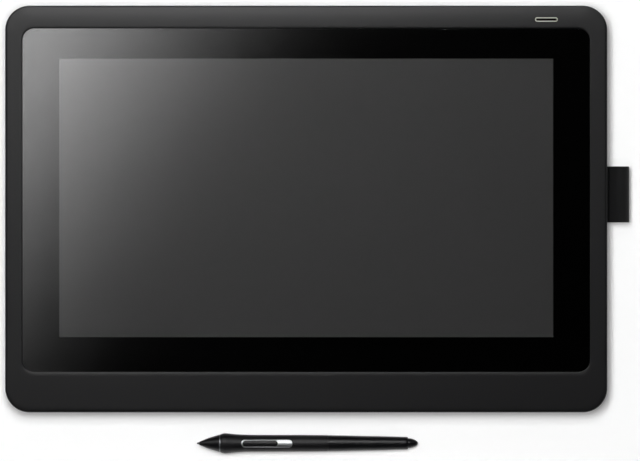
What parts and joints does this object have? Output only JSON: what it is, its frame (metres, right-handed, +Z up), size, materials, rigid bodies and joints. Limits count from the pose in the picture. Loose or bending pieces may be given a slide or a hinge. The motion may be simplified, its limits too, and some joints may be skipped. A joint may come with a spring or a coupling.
{
  "type": "graphics tablet with screen",
  "caption": "Flat drawing tablet with a built-in screen under one sheet of glass, folding legs behind, a fabric pen loop on its side and a pressure pen lying in front.",
  "frame": {"origin": "on the desk, under the middle of the tablet, its pen loop and its pen taken together", "axes": "+X to the user's right along the long side, +Y away from the user, +Z up out of the screen"},
  "size_m": [0.438, 0.3144, 0.0245],
  "materials": {
    "bezel_plastic": "fine matt texture, near-black",
    "cover_plastic": "fine matt texture, near-black",
    "etched_glass": "fine anti-glare etch",
    "border_black": "printed black",
    "panel_glass": "dark panel, off",
    "clear_sheet": "clear acrylic and diffusing films",
    "white_sheet": "white reflecting film",
    "bright_steel": "plated sheet and pins",
    "chassis_metal": "bare stamped sheet",
    "black_screw": "black zinc",
    "circuit_board": "green solder mask",
    "chip_black": "moulded packages",
    "part_grey": "ferrite coils and capacitor sleeves",
    "connector_cream": "moulded connector bodies",
    "ribbon": "flat flexible cable",
    "film_amber": "amber flexible film",
    "coil_copper": "enamelled copper winding",
    "light_ring": "pale translucent ring",
    "foot_rubber": "matt black rubber",
    "webbing": "black woven band",
    "nib_grey": "grey nib plastic",
    "grip_rubber": "matt soft grip",
    "barrel_plastic": "satin barrel",
    "silver_trim": "bright silver finish"
  },
  "bodies": {
    "display": {"front_bezel": "bezel_plastic", "cover_glass": "etched_glass", "border_film": "border_black", "lcd_cell": "panel_glass", "optical_films": "clear_sheet", "light_guide": "clear_sheet", "reflector_sheet": "white_sheet", "led_strip": "ribbon", "panel_tray": "chassis_metal", "panel_board": "circuit_board", "driver_films": "film_amber", "sensor_board": "circuit_board", "sensor_shield": "chassis_metal", "chassis": "chassis_metal", "main_board": "circuit_board", "board_chips": "chip_black", "power_parts": "part_grey", "processor_shield": "bright_steel", "board_connectors": "connector_cream", "port_socket": "chip_black", "sensor_cable": "ribbon", "panel_cable": "ribbon", "button_cable": "ribbon", "button_board": "circuit_board", "button_switch": "bright_steel", "power_ring": "light_ring", "rear_cover": "cover_plastic", "cover_screws": "black_screw", "board_screws": "bright_steel", "rubber_feet": "foot_rubber", "lock_plate": "bright_steel", "left_hinge_pin": "bright_steel", "right_hinge_pin": "bright_steel", "hinge_washers": "connector_cream"},
    "left_leg": {"left_leg": "cover_plastic", "left_leg_pad": "foot_rubber", "nib_holder": "cover_plastic", "spare_nibs": "nib_grey", "nib_puller": "bright_steel"},
    "right_leg": {"right_leg": "cover_plastic", "right_leg_pad": "foot_rubber"},
    "power_button": {"power_button": "bezel_plastic"},
    "pen_loop": {"pen_loop": "webbing", "loop_anchor": "cover_plastic"},
    "cable_lid": {"cable_lid": "cover_plastic"},
    "pen": {"pen_nose": "barrel_plastic", "pen_ring": "silver_trim", "pen_grip": "grip_rubber", "pen_core": "cover_plastic", "pen_barrel": "barrel_plastic", "pen_switch_frame": "silver_trim", "pen_board": "circuit_board", "pen_domes": "bright_steel", "pen_nib_coil": "coil_copper", "pen_nib_sensor": "chip_black", "pen_eraser_coil": "coil_copper", "pen_eraser_sensor": "chip_black"},
    "pen_nib": {"pen_nib": "nib_grey"},
    "pen_eraser": {"pen_eraser": "barrel_plastic"},
    "pen_switch": {"pen_switch": "barrel_plastic"}
  },
  "joints": [
    {"name": "left_leg_fold", "type": "hinge", "parent": "display", "child": "left_leg", "pos_m": [-0.138, 0.1247, 0.006], "axis": [1, 0, 0], "range_deg": [0, 95]},
    {"name": "right_leg_fold", "type": "hinge", "parent": "display", "child": "right_leg", "pos_m": [0.122, 0.1247, 0.006], "axis": [1, 0, 0], "range_deg": [0, 95]},
    {"name": "power_press", "type": "slide", "parent": "display", "child": "power_button", "axis": [0, 0, -1], "range_m": [0, 0.0004], "stiffness_N_per_m": 2500},
    {"name": "loop_pull", "type": "slide", "parent": "display", "child": "pen_loop", "axis": [1, 0, 0], "range_m": [0, 0.012]},
    {"name": "lid_lift", "type": "slide", "parent": "display", "child": "cable_lid", "axis": [0, 0, -1], "range_m": [0, 0.02]},
    {"name": "pen_lift", "type": "slide", "parent": "display", "child": "pen", "axis": [0, 0, 1], "range_m": [0, 0.1]},
    {"name": "nib_press", "type": "slide", "parent": "pen", "child": "pen_nib", "axis": [0.9998, 0, -0.0193], "range_m": [0, 0.0005], "stiffness_N_per_m": 2000},
    {"name": "eraser_press", "type": "slide", "parent": "pen", "child": "pen_eraser", "axis": [-0.9998, 0, 0.0193], "range_m": [0, 0.001], "stiffness_N_per_m": 1000},
    {"name": "switch_rock", "type": "hinge", "parent": "pen", "child": "pen_switch", "pos_m": [-0.04041, -0.1501, 0.01154], "axis": [0, 1, 0], "range_deg": [-2, 2], "stiffness_Nm_per_rad": 0.5}
  ]
}
